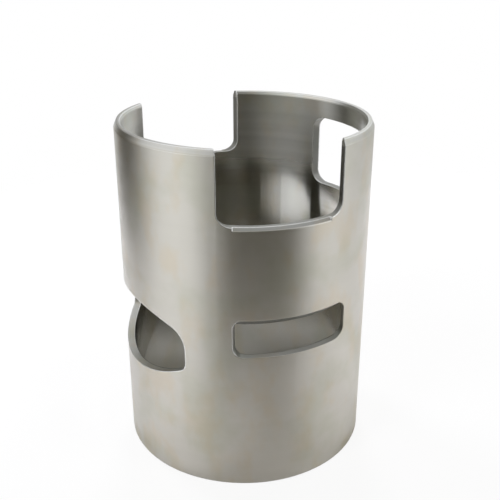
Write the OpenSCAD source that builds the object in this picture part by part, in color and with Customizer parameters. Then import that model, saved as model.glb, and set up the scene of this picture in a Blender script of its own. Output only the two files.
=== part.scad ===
// Cylinder liner of a two-stroke engine: one thin iron sleeve, stood on its
// head end with the crankcase end up. The bore runs along +Z and the origin is
// the centre of the head-end face. The exhaust port looks along -X, a transfer
// port and a skirt notch lie on each side of it, and a window in the skirt
// looks along +X, opposite the exhaust.
// Angles of ports and notches are counted round the bore from the exhaust.

/* [Barrel] */
// Diameter of the bore
bore_d = 80; // [74:0.5:90]
// Thickness of the barrel wall
wall = 2.5; // [2:0.1:4]
// Length of the liner along the bore
liner_len = 115; // [108:0.5:130]

/* [Ends] */
// Radial width of the outside chamfer at the crankcase rim
rim_chamfer_w = 0.85; // [0.4:0.05:1]
// Height of the outside chamfer at the crankcase rim
rim_chamfer_h = 1.85; // [0.8:0.05:3]
// Radial width of the lead-in inside the crankcase rim
lead_in_w = 0.5; // [0.2:0.05:0.7]
// Height of the lead-in inside the crankcase rim
lead_in_h = 1.15; // [0.4:0.05:2]
// Edge break inside and outside at the head end
head_break = 0.3; // [0.1:0.05:0.6]

/* [Exhaust port] */
// Angle that the port spans round the outside of the barrel
exhaust_span = 76.8; // [66:0.2:86]
// Height of the port's lowest point above the head end
exhaust_low_z = 35.3; // [30:0.1:38]
// Height of the port's crown, its edge nearest the crankcase
exhaust_crown_z = 60.3; // [56:0.1:66]
// Radius of the arched crown
exhaust_crown_r = 64; // [50:0.5:80]
// Radius of the arched lower edge
exhaust_low_r = 62; // [50:0.5:80]
// Corner radius below the crown
exhaust_crown_corner_r = 8; // [4:0.25:9]
// Corner radius above the lower edge
exhaust_low_corner_r = 3.2; // [2:0.1:6]
// Angle that each half of the port is cut at, off the port's centre plane
exhaust_aim = 26; // [10:1:32]

/* [Transfer ports] */
// Angle from the exhaust to the centre of each transfer port
transfer_at = 86.9; // [82:0.1:94]
// Angle that each transfer port spans round the outside of the barrel
transfer_span = 54.1; // [40:0.1:60]
// Height of the port's lower edge above the head end
transfer_low_z = 48.6; // [44:0.1:54]
// Height of the port's upper edge on the outside of the barrel
transfer_top_z = 61.7; // [58:0.1:66]
// Slope of the port's roof, down towards the bore
transfer_roof_slope = 44; // [0:1:55]
// Corner radius of the transfer ports
transfer_corner_r = 3.5; // [2:0.1:4.5]
// Angle that the ports are turned, to blow away from the exhaust
transfer_aim = 27; // [0:1:32]
// Angle that each end wall of the port closes in towards the bore
transfer_taper = 11; // [0:1:14]

/* [Skirt notches] */
// Angle from the exhaust to the centre of each notch
notch_at = 81.6; // [78:0.1:86]
// Width of each notch
notch_w = 39.6; // [32:0.2:44]
// Depth of each notch below the crankcase rim
notch_depth = 23; // [16:0.25:28]
// Radius of the notch's bottom corners
notch_corner_r = 4.2; // [2:0.1:8]
// Radial width of the outside chamfer along the notch floor
notch_chamfer_w = 0.95; // [0.4:0.05:1.2]
// Height of the outside chamfer along the notch floor
notch_chamfer_h = 1.1; // [0.4:0.05:2]

/* [Skirt window] */
// Width of the window
window_w = 33.8; // [26:0.2:40]
// Height of the window
window_h = 24.8; // [16:0.2:28]
// Distance from the window to the crankcase rim
window_drop = 7.2; // [5:0.1:12]
// Corner radius of the window
window_corner_r = 4.6; // [2:0.1:8]

/* [Hidden] */
$fn = 180;

bore_r = bore_d/2;
outer_r = bore_r + wall;
// how far each cutter runs past the outside of the barrel and stops short of the axis
past = 6;
inside = bore_r*0.5;
// how far the two halves of a port overlap past its centre plane
lap = 0.2;
// length of the straight steps along the exhaust port's arches
facet = 1;
// start of the barrel's revolve, counted from the exhaust: in the plain stretch between
// a notch and the window, where no port, notch or window crosses its seam
seam_at = 136;
notch_floor_z = liner_len - notch_depth;
window_top_z = liner_len - window_drop;

// Half section of the barrel wall, with its chamfers and edge breaks
module wall_section() {
    polygon([
        [bore_r + head_break, 0],
        [outer_r - head_break, 0],
        [outer_r, head_break],
        [outer_r, liner_len - rim_chamfer_h],
        [outer_r - rim_chamfer_w, liner_len],
        [bore_r + lead_in_w, liner_len],
        [bore_r, liner_len - lead_in_h],
        [bore_r, head_break]
    ]);
}

module barrel() {
    rotate([0, 0, 180 - seam_at]) rotate_extrude() wall_section();
}

// Rectangle from x0 to x1 and z0 to z1 with round corners of radius r
module round_rect(x0, x1, z0, z1, r) {
    translate([x0 + r, z0]) square([x1 - x0 - 2*r, z1 - z0]);
    translate([x0, z0 + r]) square([x1 - x0, z1 - z0 - 2*r]);
    for (x = [x0 + r, x1 - r], z = [z0 + r, z1 - r])
        translate([x, z]) circle(r);
}

// Sends an outline through the barrel wall along +X, turned by aim:
// the outline's x runs round the barrel and its y runs up the bore
module through_wall(aim = 0) {
    rotate([0, 0, aim]) translate([inside, 0, 0]) rotate([90, 0, 90])
        linear_extrude(outer_r + past - inside) children();
}

// Distance across the cutting direction of a point on the outside of the barrel
function across(angle, aim) = outer_r*sin(angle - aim);

// Centre of the round corner, of radius rc, between the line x = x_end and an arc
// of centre c and radius r that bulges up (up = 1) or down (up = -1)
function corner_centre(c, r, x_end, rc, up) =
    [x_end - rc, c[1] + up*sqrt(pow(r - rc, 2) - pow(x_end - rc - c[0], 2))];

function direction(v) = atan2(v[1], v[0]);

// Points along an arc of centre c and radius r, on from angle a0 and up to angle a1
function arc(c, r, a0, a1) =
    let (n = max(2, ceil(abs(a1 - a0)*PI/180*r/facet)))
    [for (i = [1:n]) let (a = a0 + (a1 - a0)*i/n) c + r*[cos(a), sin(a)]];

// One half of the exhaust port's outline: arched lower edge, straight end, arched crown.
// Both arches run level for a short way across the centre plane, where the halves meet.
module exhaust_outline() {
    x_mid = across(0, exhaust_aim);
    x_end = across(exhaust_span/2, exhaust_aim);
    level = wall*tan(exhaust_aim) + 2*lap;
    crown_c = [x_mid, exhaust_crown_z - exhaust_crown_r];
    low_c = [x_mid, exhaust_low_z + exhaust_low_r];
    crown_p = corner_centre(crown_c, exhaust_crown_r, x_end, exhaust_crown_corner_r, 1);
    low_p = corner_centre(low_c, exhaust_low_r, x_end, exhaust_low_corner_r, -1);
    crown_a = direction(crown_p - crown_c);
    low_a = direction(low_p - low_c);
    polygon(concat(
        [[x_mid - lap, exhaust_low_z], [x_mid + level, exhaust_low_z]],
        arc(low_c, exhaust_low_r, asin(2*level/exhaust_low_r) - 90, low_a),
        arc(low_p, exhaust_low_corner_r, low_a, 0),
        [[x_end, crown_p[1]]],
        arc(crown_p, exhaust_crown_corner_r, 0, crown_a),
        arc(crown_c, exhaust_crown_r, crown_a, 90 - asin(2*level/exhaust_crown_r)),
        [[x_mid + level, exhaust_crown_z], [x_mid - lap, exhaust_crown_z]]
    ));
}

module exhaust_cut() {
    for (side = [0, 1]) mirror([0, side, 0])
        through_wall(exhaust_aim) exhaust_outline();
}

// One half of a transfer port, from a little past its centre plane to its end wall.
// It stands a little too high, and under_roof() trims it.
module transfer_half(aim) {
    through_wall(aim)
        round_rect(across(0, aim) - lap - transfer_corner_r, across(transfer_span/2, aim),
            transfer_low_z, transfer_top_z + lap, transfer_corner_r);
}

// Space under a transfer port's roof, which slopes down towards the bore
module under_roof() {
    fall = tan(transfer_roof_slope);
    rotate_extrude()
        polygon([
            [0, transfer_low_z - past],
            [outer_r + 2*past, transfer_low_z - past],
            [outer_r + 2*past, transfer_top_z + 2*past*fall],
            [bore_r - wall, transfer_top_z - 2*wall*fall],
            [0, transfer_top_z - 2*wall*fall]
        ]);
}

// Transfer port, blowing away from the exhaust, which lies on its +Y side here
module transfer_cut() {
    intersection() {
        union() {
            transfer_half(transfer_aim + transfer_taper);
            mirror([0, 1, 0]) transfer_half(transfer_taper - transfer_aim);
        }
        under_roof();
    }
}

// Skirt notch with a short chamfer outside, along the flat of its floor
module notch_cut() {
    flat_half = asin((notch_w/2 - notch_corner_r)/outer_r);
    through_wall()
        round_rect(-notch_w/2, notch_w/2, notch_floor_z, liner_len + notch_corner_r + past, notch_corner_r);
    slope = notch_chamfer_h/notch_chamfer_w;
    rise = 0.2;
    rotate([0, 0, -flat_half])
        rotate_extrude(angle = 2*flat_half)
            polygon([
                [outer_r - notch_chamfer_w - rise/slope, notch_floor_z + rise],
                [outer_r + past, notch_floor_z - notch_chamfer_h - past*slope],
                [outer_r + past, notch_floor_z + rise]
            ]);
}

module window_cut() {
    through_wall()
        round_rect(-window_w/2, window_w/2, window_top_z - window_h, window_top_z, window_corner_r);
}

module cylinder_liner() {
    color([0.70, 0.69, 0.66])
    difference() {
        barrel();
        rotate([0, 0, 180]) exhaust_cut();
        for (side = [0, 1]) mirror([0, side, 0]) {
            rotate([0, 0, 180 - transfer_at]) transfer_cut();
            rotate([0, 0, 180 - notch_at]) notch_cut();
        }
        window_cut();
    }
}

cylinder_liner();
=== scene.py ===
import math
import bpy
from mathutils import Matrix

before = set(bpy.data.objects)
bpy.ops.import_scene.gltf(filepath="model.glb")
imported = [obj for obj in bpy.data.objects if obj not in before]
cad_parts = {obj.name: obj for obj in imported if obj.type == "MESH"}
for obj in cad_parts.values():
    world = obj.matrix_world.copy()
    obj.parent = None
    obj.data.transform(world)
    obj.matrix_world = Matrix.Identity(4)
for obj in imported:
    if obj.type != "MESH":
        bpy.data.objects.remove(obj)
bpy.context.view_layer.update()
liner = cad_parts["cylinder_liner"]

# The liner's sizes, in metres
OUTER_R = 0.0425
BORE_R = 0.040
LINER_LEN = 0.115

# The photograph's view, with distances in outside radii
TURN = math.radians(-25.45)
PITCH = math.radians(23.05)
CAMERA_RIGHT = 0.0457
CAMERA_BACK = 5.861
CAMERA_UP = 4.075
FOCAL_PX = 768.2
FRAME_PX = 500
SENSOR_MM = 36.0
NEAR_CLIP = 0.01
FAR_CLIP = 20.0

WHITE = (1, 1, 1, 1)

# The studio that the metal mirrors: a bright tent with darker gaps that narrow upwards.
# Azimuths are in degrees from the camera's side, positive to the right. Each gap has a
# centre, a half width and a top in degrees, a soft edge as a share of them, and the share
# of the tent's light that it keeps. The front gap is softer on its left.
FRONT_GAP = dict(centre=13.0, half=43.0, top=54.0, soft=0.40, level=0.0, soft_left=0.56)
LEFT_GAP = dict(centre=-120.0, half=24.0, top=14.0, soft=0.80, level=0.0)
RIGHT_DIP = dict(centre=138.0, half=34.0, top=14.0, soft=0.50, level=0.70)
# this one darkens the left of the rim, and fades in between these degrees over the horizon
RIM_GAP = dict(centre=-142.0, half=34.0, top=42.0, soft=0.40, level=0.25)
RIM_GAP_FADE = (-3.0, 3.0)
# one side of the tent glows a little brighter, so its level is over 1
LEFT_GLOW = dict(centre=-60.0, half=18.0, top=25.0, soft=0.60, level=1.14)
# where a gap's left softness turns into its right softness, in half widths
SOFTNESS_TURNS = (-0.8, 0.2)
TENT_COLOUR = (0.925, 0.940, 0.950, 1)
GAP_COLOUR = (0.058, 0.053, 0.036, 1)
# what lights the paper where no lamp reaches
FILL_COLOUR = (0.11, 0.10, 0.085, 1)

# The lamps over the paper: azimuth and elevation in degrees, watts, and width in metres.
# They stay out of the metal's reflections.
PLAIN_LIGHT = (1.0, 1.0, 1.0)
COOL_LIGHT = (0.92, 0.93, 1.0)
WARM_LIGHT = (1.0, 0.97, 0.90)
LAMPS = dict(
    back=dict(azimuth=180, elevation=30, watts=6.5, size=0.35, colour=COOL_LIGHT),
    back_left=dict(azimuth=-135, elevation=30, watts=6.6, size=0.35, colour=COOL_LIGHT),
    front_left=dict(azimuth=-45, elevation=45, watts=3.3, size=0.30, colour=COOL_LIGHT),
    high_right=dict(azimuth=60, elevation=70, watts=1.5, size=0.17, colour=WARM_LIGHT),
    back_right=dict(azimuth=130, elevation=30, watts=1.8, size=0.35, colour=PLAIN_LIGHT),
)
LAMP_DISTANCE = 1.0

# The paper under the liner, in metres. Its edge fades, so that the metal mirrors no line.
PAPER_R = 0.258
PAPER_FADE = 0.050
PAPER_BACK = 0.100
PAPER_RIGHT = 0.020
PAPER_COLOUR = (0.85, 0.85, 0.84, 1)
# the share of plain white in what the camera sees of it, and the rest keeps the shadow
PAPER_WHITE_SHARE = 0.9

# Where each finish lies, in metres. A pair is where a soft step begins and ends.
BORE_RADII = (BORE_R + 0.00008, BORE_R + 0.00012)
LEAD_IN_RADII = (BORE_R + 0.0008, BORE_R + 0.0014)
OUTSIDE_RADII = (OUTER_R - 0.00020, OUTER_R - 0.00015)
RIM_HEIGHTS = (LINER_LEN - 0.0025, LINER_LEN - 0.0020)
# the skirt, above the ground running surface, keeps a rougher finish inside
SKIRT_HEIGHTS = (0.0835, 0.0935)
# the cut faces above this height are the notches' and the window's
SKIRT_CUTS_FROM_Z = 0.080
# the transfer ports lie between these heights, and this far to either side of the YZ plane
TRANSFER_Z = (0.046, 0.062)
TRANSFER_HALF = 0.020

# Colours of the iron, with painted shade on the cut faces and painted highlights on the rim, the
# lead-in and the broken edges
GROUND_COLOUR = (0.652, 0.628, 0.572, 1)
BORE_COLOUR = (0.605, 0.597, 0.562, 1)
PORT_CUT_COLOUR = (0.62, 0.614, 0.585, 1)
# painted shade: the cut faces in the skirt and round the transfer ports are painted darker
SKIRT_CUT_PAINTED_SHADE = (0.35, 0.347, 0.328, 1)
TRANSFER_CUT_PAINTED_SHADE = (0.34, 0.337, 0.318, 1)
# painted highlight: the rim is painted lighter, and its lead-in chamfer lighter still
RIM_PAINTED_HIGHLIGHT = (0.71, 0.695, 0.66, 1)
LEAD_IN_PAINTED_HIGHLIGHT = (0.82, 0.815, 0.79, 1)
# painted highlight along the broken edges
EDGE_PAINTED_HIGHLIGHT = (0.98, 0.98, 0.97, 1)

# Patterns in the metal: waves per metre along X, Y and Z, and the noise's detail and roughness
FINE_LINES = dict(waves=(7, 7, 800), detail=2.0, roughness=0.5)
WIDE_LINES = dict(waves=(5, 5, 260), detail=2.0, roughness=0.5)
CLOUDS = dict(waves=(55, 55, 55), detail=3.0, roughness=0.55)
PATCHES = dict(waves=(110, 110, 66), detail=3.0, roughness=0.55)
# a tint multiplies the colour, and its pair is where the pattern starts and ends to show it
WARM_TINT = (1.0, 0.955, 0.89, 1)
WARM_STEP = (0.46, 0.68)
DULL_TINT = (0.92, 0.935, 0.89, 1)
DULL_STEP = (0.45, 0.68)
LINE_TINT = (0.80, 0.80, 0.80, 1)
LINE_STEP = (0.35, 0.70)
# how much of the lines' tint shows on the ground faces, in the skirt and on the rim
GROUND_LINES = 0.08
SKIRT_LINES = 0.50
RIM_LINES = 0.70

# Roughness of each finish, and how far the clouds and the fine lines move it
OUTSIDE_ROUGH = 0.35
BORE_ROUGH = 0.14
SKIRT_ROUGH = 0.36
EDGE_ROUGH = 0.22
CLOUD_SWING = 0.08
LINE_SWING = 0.06

# The lines' relief, in metres, and the fine lines' share of it
BUMP_STRENGTH = 0.03
BUMP_DEPTH = 0.00008
FINE_SHARE = 0.5

# The highlight is spread across the grain, which runs round the liner
ANISOTROPY = 0.85
GRAIN_TURN = 0.25
# a face is upright where its normal points up or down by less than this
UPRIGHT_LIMIT = 0.7

# The broken edges, which carry a painted highlight: their radius in metres, and the cosines of the
# turn from the face's normal to the rounded one at which an edge starts to show and is full
EDGE_R = 0.0005
EDGE_COSINES = (0.999, 0.95)


class Nodes:
    """Short calls for building a node tree."""

    def __init__(self, tree):
        self.tree = tree
        tree.nodes.clear()

    def add(self, kind, inputs=None, **props):
        node = self.tree.nodes.new(kind)
        for name, value in props.items():
            setattr(node, name, value)
        for name, value in (inputs or {}).items():
            self.put(value, node.inputs[name])
        return node

    def put(self, value, socket):
        if isinstance(value, bpy.types.NodeSocket):
            self.tree.links.new(value, socket)
        else:
            socket.default_value = value

    def math(self, operation, *values):
        node = self.add("ShaderNodeMath", operation=operation)
        for i, value in enumerate(values):
            self.put(value, node.inputs[i])
        return node.outputs[0]

    def product(self, first, *others):
        result = first
        for other in others:
            result = self.math("MULTIPLY", result, other)
        return result

    def inverse(self, share):
        """What is left of 1."""
        return self.math("SUBTRACT", 1.0, share)

    def hypotenuse(self, first, second):
        squares = self.math("ADD", self.product(first, first), self.product(second, second))
        return self.math("SQRT", squares)

    def step(self, value, low, high, at_low=0.0, at_high=1.0):
        """A smooth step from at_low to at_high while value goes from low to high."""
        node = self.add("ShaderNodeMapRange", interpolation_type="SMOOTHSTEP")
        for i, number in enumerate((value, low, high, at_low, at_high)):
            self.put(number, node.inputs[i])
        return node.outputs[0]

    def blend(self, share, first, second):
        """A number that goes from first to second as share goes from 0 to 1."""
        node = self.add("ShaderNodeMix", data_type="FLOAT")
        self.put(share, node.inputs[0])
        self.put(first, node.inputs[2])
        self.put(second, node.inputs[3])
        return node.outputs[0]

    def colour(self, share, first, second, blend_type="MIX"):
        """A colour that goes from first to second, or to their product with MULTIPLY."""
        node = self.add("ShaderNodeMix", data_type="RGBA", blend_type=blend_type)
        self.put(share, node.inputs[0])
        self.put(first, node.inputs[6])
        self.put(second, node.inputs[7])
        return node.outputs[2]

    def shader(self, share, first, second):
        """A shader that goes from first to second as share goes from 0 to 1."""
        inputs = {0: share, 1: first.outputs[0], 2: second.outputs[0]}
        return self.add("ShaderNodeMixShader", inputs)

    def noise(self, place, waves, detail, roughness):
        """A pattern from 0 to 1, with so many waves a metre along each axis."""
        stretched = self.add("ShaderNodeVectorMath", {0: place, 1: waves}, operation="MULTIPLY")
        node = self.add("ShaderNodeTexNoise", {
            "Vector": stretched.outputs[0], "Scale": 1.0, "Detail": detail, "Roughness": roughness})
        return node.outputs["Fac"]

    def swing(self, number, pattern, amount):
        """The number, moved up and down by a pattern that lies about one half."""
        centred = self.math("SUBTRACT", pattern, 0.5)
        return self.math("ADD", number, self.product(centred, amount))


def turned(x, y):
    """A place given to the right of and away from the camera, in the part's own frame."""
    return x * math.cos(TURN) - y * math.sin(TURN), x * math.sin(TURN) + y * math.cos(TURN)


def new_material(name):
    material = bpy.data.materials.new(name)
    material.use_nodes = True
    return material, Nodes(material.node_tree)


def add_camera():
    data = bpy.data.cameras.new("camera")
    data.sensor_width = SENSOR_MM
    data.lens = FOCAL_PX / FRAME_PX * SENSOR_MM
    data.clip_start = NEAR_CLIP
    data.clip_end = FAR_CLIP
    camera = bpy.data.objects.new("camera", data)
    bpy.context.scene.collection.objects.link(camera)
    place = turned(CAMERA_RIGHT * OUTER_R, -CAMERA_BACK * OUTER_R)
    camera.location = (*place, CAMERA_UP * OUTER_R)
    camera.rotation_euler = (math.pi / 2 - PITCH, 0, TURN)
    bpy.context.scene.camera = camera


def add_lamp(name, azimuth, elevation, watts, size, colour):
    """A round soft lamp aimed at the liner's foot."""
    data = bpy.data.lights.new(name, "AREA")
    data.shape = "DISK"
    data.size = size
    data.energy = watts
    data.color = colour
    lamp = bpy.data.objects.new(name, data)
    bpy.context.scene.collection.objects.link(lamp)
    round_by = math.radians(azimuth)
    up_by = math.radians(elevation)
    out = LAMP_DISTANCE * math.cos(up_by)
    place = turned(out * math.sin(round_by), -out * math.cos(round_by))
    lamp.location = (*place, LAMP_DISTANCE * math.sin(up_by))
    lamp.rotation_euler = lamp.location.to_track_quat("Z", "Y").to_euler()
    lamp.visible_glossy = False


def add_world():
    """White to the camera, the tent to the metal, and a faint warm fill to the paper."""
    world = bpy.data.worlds.new("studio")
    bpy.context.scene.world = world
    world.use_nodes = True
    n = Nodes(world.node_tree)
    path = n.add("ShaderNodeLightPath").outputs
    direction = n.add("ShaderNodeTexCoord").outputs["Generated"]
    turn_back = {"Vector": direction, "Angle": -TURN}
    view = n.add("ShaderNodeVectorRotate", turn_back, rotation_type="Z_AXIS").outputs[0]
    axes = n.add("ShaderNodeSeparateXYZ", {0: view}).outputs
    towards = n.math("MULTIPLY", axes[1], -1.0)
    azimuth = n.math("DEGREES", n.math("ARCTAN2", axes[0], towards))
    tilt = n.math("DEGREES", n.math("ARCSINE", axes[2]))
    elevation = n.math("MAXIMUM", tilt, 0.0)

    def gap(centre, half, top, soft, level, soft_left=None):
        """The level inside the gap, and 1 outside it."""
        degrees_off = n.math("WRAP", n.math("SUBTRACT", azimuth, centre), 180.0, -180.0)
        off = n.math("DIVIDE", degrees_off, half)
        up = n.math("DIVIDE", elevation, top)
        if soft_left is not None:
            soft = n.step(off, *SOFTNESS_TURNS, soft_left, soft)
        start = n.math("SUBTRACT", 1.0, soft)
        end = n.math("ADD", 1.0, soft)
        return n.step(n.hypotenuse(off, up), start, end, level, 1.0)

    rim_gap = n.blend(n.step(tilt, *RIM_GAP_FADE), 1.0, gap(**RIM_GAP))
    openness = n.product(gap(**FRONT_GAP), gap(**LEFT_GAP), gap(**RIGHT_DIP), rim_gap)
    tent_colour = n.colour(openness, GAP_COLOUR, TENT_COLOUR)
    tent = n.add("ShaderNodeBackground", {"Color": tent_colour, "Strength": gap(**LEFT_GLOW)})
    fill = n.add("ShaderNodeBackground", {"Color": FILL_COLOUR})
    white = n.add("ShaderNodeBackground", {"Color": WHITE})
    seen = n.math("MAXIMUM", path["Is Camera Ray"], path["Is Transmission Ray"])
    lit = n.shader(path["Is Glossy Ray"], fill, tent)
    n.add("ShaderNodeOutputWorld", {0: n.shader(seen, lit, white).outputs[0]})


def add_floor():
    """White paper that keeps the liner's shadow."""
    place = (*turned(PAPER_RIGHT, PAPER_BACK), 0)
    bpy.ops.mesh.primitive_circle_add(
        vertices=128, radius=PAPER_R, fill_type="NGON", location=place)
    floor = bpy.context.object
    floor.name = "floor"
    material, n = new_material("paper")
    floor.data.materials.append(material)
    paper = n.add("ShaderNodeBsdfDiffuse", {"Color": PAPER_COLOUR})
    white = n.add("ShaderNodeEmission", {"Color": WHITE})
    seen = n.add("ShaderNodeLightPath").outputs["Is Camera Ray"]
    sheet = n.shader(n.math("MULTIPLY", seen, PAPER_WHITE_SHARE), paper, white)
    middle = n.add("ShaderNodeTexCoord").outputs["Object"]
    length = n.add("ShaderNodeVectorMath", {0: middle}, operation="LENGTH").outputs["Value"]
    faded = n.step(length, PAPER_R - PAPER_FADE, PAPER_R)
    clear = n.add("ShaderNodeBsdfTransparent")
    n.add("ShaderNodeOutputMaterial", {0: n.shader(faded, sheet, clear).outputs[0]})


def ground_iron():
    """Iron, ground round the outside and in the bore, with painted shade on the cut faces and a
    painted highlight on the rim, the lead-in and the broken edges.
    """
    material, n = new_material("ground_iron")
    place = n.add("ShaderNodeTexCoord").outputs["Object"]
    x, y, z = n.add("ShaderNodeSeparateXYZ", {0: place}).outputs
    flat = n.add("ShaderNodeNewGeometry").outputs["Normal"]

    # the zones, by radius and height
    radius = n.hypotenuse(x, y)
    in_bore = n.step(radius, *BORE_RADII, 1.0, 0.0)
    in_skirt = n.product(in_bore, n.step(z, *SKIRT_HEIGHTS))
    in_wall = n.product(n.step(radius, *OUTSIDE_RADII, 1.0, 0.0), n.inverse(in_bore))
    at_top = n.step(z, *RIM_HEIGHTS)
    rim = n.product(in_wall, at_top)
    lead_in = n.step(radius, *LEAD_IN_RADII, 1.0, 0.0)
    cut = n.product(in_wall, n.inverse(at_top))
    skirt_cut = n.math("GREATER_THAN", z, SKIRT_CUTS_FROM_Z)
    above = n.math("GREATER_THAN", z, TRANSFER_Z[0])
    below = n.math("LESS_THAN", z, TRANSFER_Z[1])
    beside = n.math("LESS_THAN", n.math("ABSOLUTE", x), TRANSFER_HALF)
    transfer = n.product(above, below, beside)

    # lines round the barrel, and broad faint clouds and patches
    fine_lines = n.noise(place, **FINE_LINES)
    wide_lines = n.noise(place, **WIDE_LINES)
    clouds = n.noise(place, **CLOUDS)
    patches = n.noise(place, **PATCHES)

    base = n.colour(in_bore, GROUND_COLOUR, BORE_COLOUR)
    # the cut faces, with painted shade in the skirt and round the transfer ports
    cut_colour_and_painted_shade = n.colour(skirt_cut, PORT_CUT_COLOUR, SKIRT_CUT_PAINTED_SHADE)
    cut_colour_and_painted_shade = n.colour(transfer, cut_colour_and_painted_shade, TRANSFER_CUT_PAINTED_SHADE)
    base = n.colour(cut, base, cut_colour_and_painted_shade)
    # the rim gets a painted highlight, brighter on the lead-in chamfer
    base = n.colour(rim, base, n.colour(lead_in, RIM_PAINTED_HIGHLIGHT, LEAD_IN_PAINTED_HIGHLIGHT))
    base = n.colour(n.step(patches, *WARM_STEP), base, WARM_TINT, "MULTIPLY")
    base = n.colour(n.step(clouds, *DULL_STEP), base, DULL_TINT, "MULTIPLY")
    line_share = n.blend(rim, n.blend(in_skirt, GROUND_LINES, SKIRT_LINES), RIM_LINES)
    line_shade = n.step(n.blend(rim, wide_lines, fine_lines), *LINE_STEP)
    base = n.colour(n.product(line_shade, line_share), base, LINE_TINT, "MULTIPLY")

    rough = n.blend(in_skirt, n.blend(in_bore, OUTSIDE_ROUGH, BORE_ROUGH), SKIRT_ROUGH)
    rough = n.swing(rough, clouds, CLOUD_SWING)
    rough = n.swing(rough, fine_lines, LINE_SWING)

    # a painted highlight and a roughness of their own along the broken edges, but not round the
    # transfer ports
    rounded = n.add("ShaderNodeBevel", {"Radius": EDGE_R}, samples=8).outputs[0]
    normals = {0: rounded, 1: flat}
    turn = n.add("ShaderNodeVectorMath", normals, operation="DOT_PRODUCT").outputs["Value"]
    edge = n.product(n.step(turn, *EDGE_COSINES), n.inverse(transfer))
    base = n.colour(edge, base, EDGE_PAINTED_HIGHLIGHT)
    rough = n.blend(edge, rough, EDGE_ROUGH)

    height = n.math("ADD", n.product(fine_lines, FINE_SHARE), wide_lines)
    bump = n.add("ShaderNodeBump", {
        "Strength": BUMP_STRENGTH, "Distance": BUMP_DEPTH, "Height": height, "Normal": rounded})

    # the grain runs round the liner, and down the upright cut faces
    flat_up = n.add("ShaderNodeSeparateXYZ", {0: flat}).outputs[2]
    upright = n.math("LESS_THAN", n.math("ABSOLUTE", flat_up), UPRIGHT_LIMIT)
    round_grain = n.add("ShaderNodeTangent", direction_type="RADIAL", axis="Z").outputs[0]
    tangent = n.colour(n.product(cut, upright), round_grain, (0.0, 0.0, 1.0, 1.0))
    shader = n.add("ShaderNodeBsdfPrincipled", {
        "Base Color": base, "Metallic": 1.0, "Roughness": rough, "Anisotropic": ANISOTROPY,
        "Anisotropic Rotation": GRAIN_TURN, "Tangent": tangent, "Normal": bump.outputs[0]})
    n.add("ShaderNodeOutputMaterial", {0: shader.outputs[0]})
    return material


add_camera()
add_world()
add_floor()
for name, lamp in LAMPS.items():
    add_lamp(name, **lamp)
liner.data.materials.clear()
liner.data.materials.append(ground_iron())

bpy.context.scene.view_settings.view_transform = "Standard"
